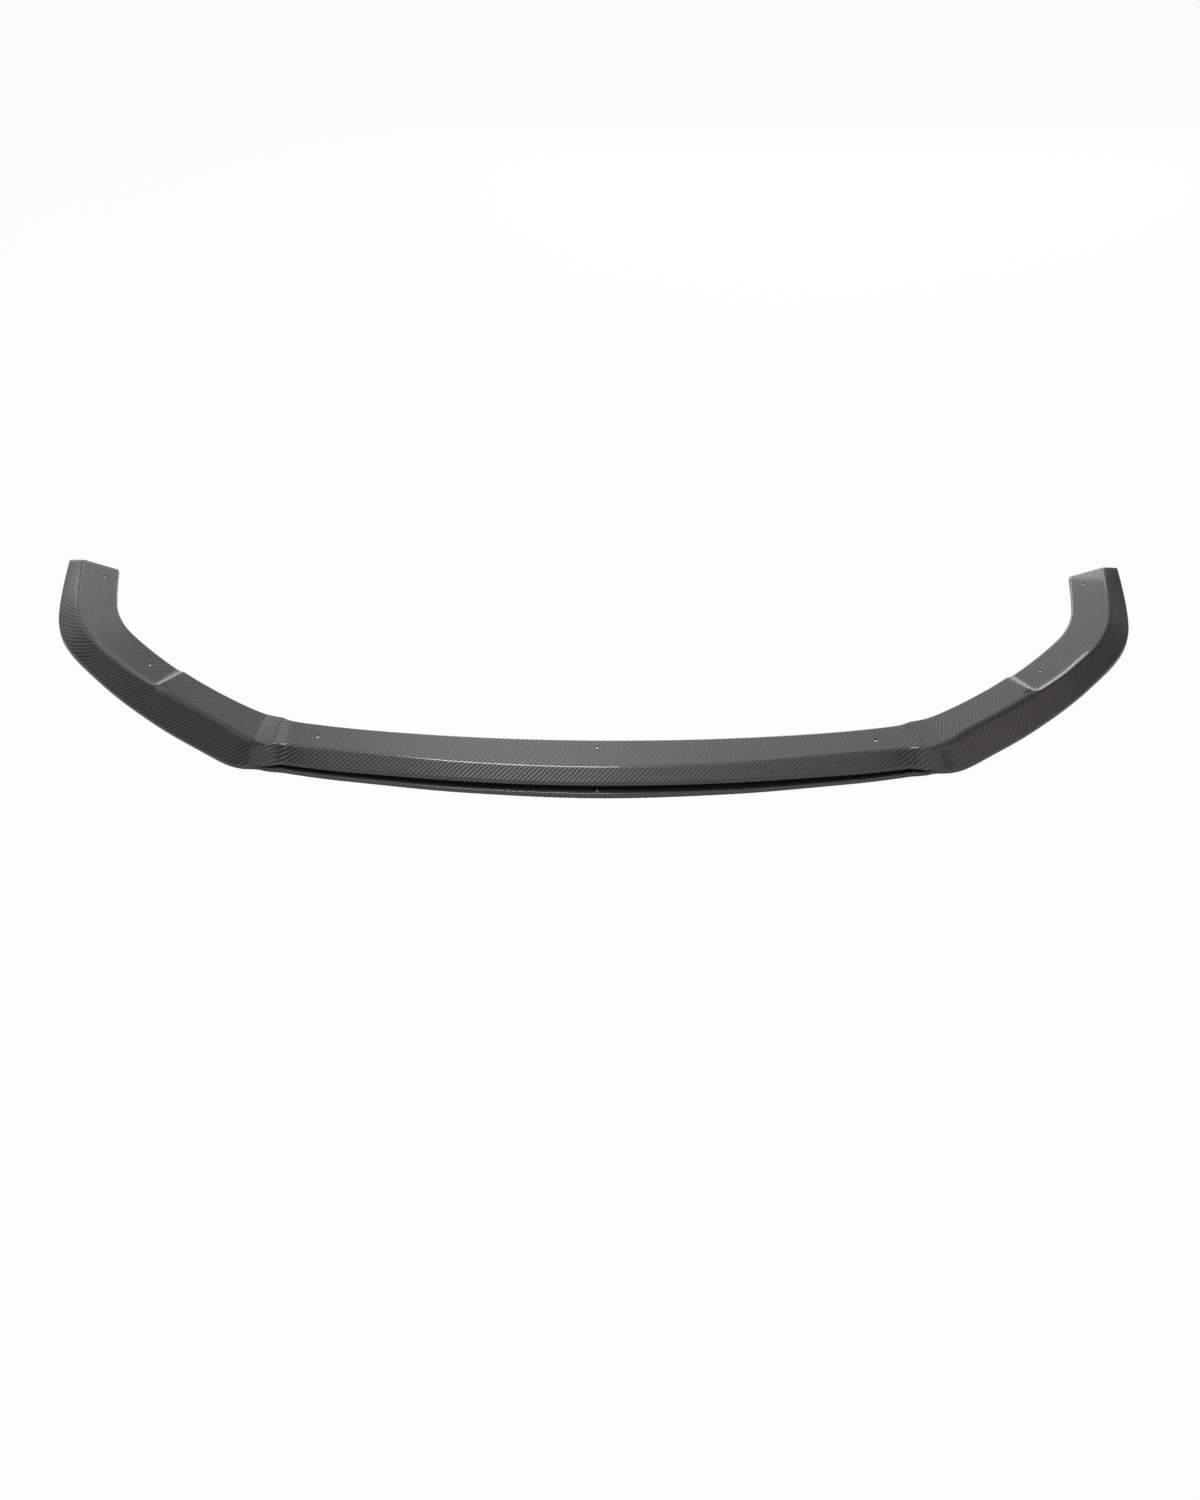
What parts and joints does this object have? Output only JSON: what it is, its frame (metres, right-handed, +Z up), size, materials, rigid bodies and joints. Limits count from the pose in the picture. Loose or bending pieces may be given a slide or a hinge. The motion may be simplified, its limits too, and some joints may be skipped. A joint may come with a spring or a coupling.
{
  "type": "front splitter lip",
  "caption": "U-shaped carbon-fibre front splitter lip with a rear screw flange, a front air channel over a lower blade, and swept-back wings.",
  "frame": {"origin": "centre of the bounding box in plan, at the lower edges that the lip stands on", "axes": "+X across the car to its left side, -Y towards the car's front, +Z up"},
  "size_m": [1.83, 0.5874, 0.049],
  "materials": {
    "splitter_lip": "glossy clear coat over dark grey 2x2 twill carbon-fibre weave"
  },
  "bodies": {
    "root": {"splitter_lip": "splitter_lip"}
  },
  "joints": []
}
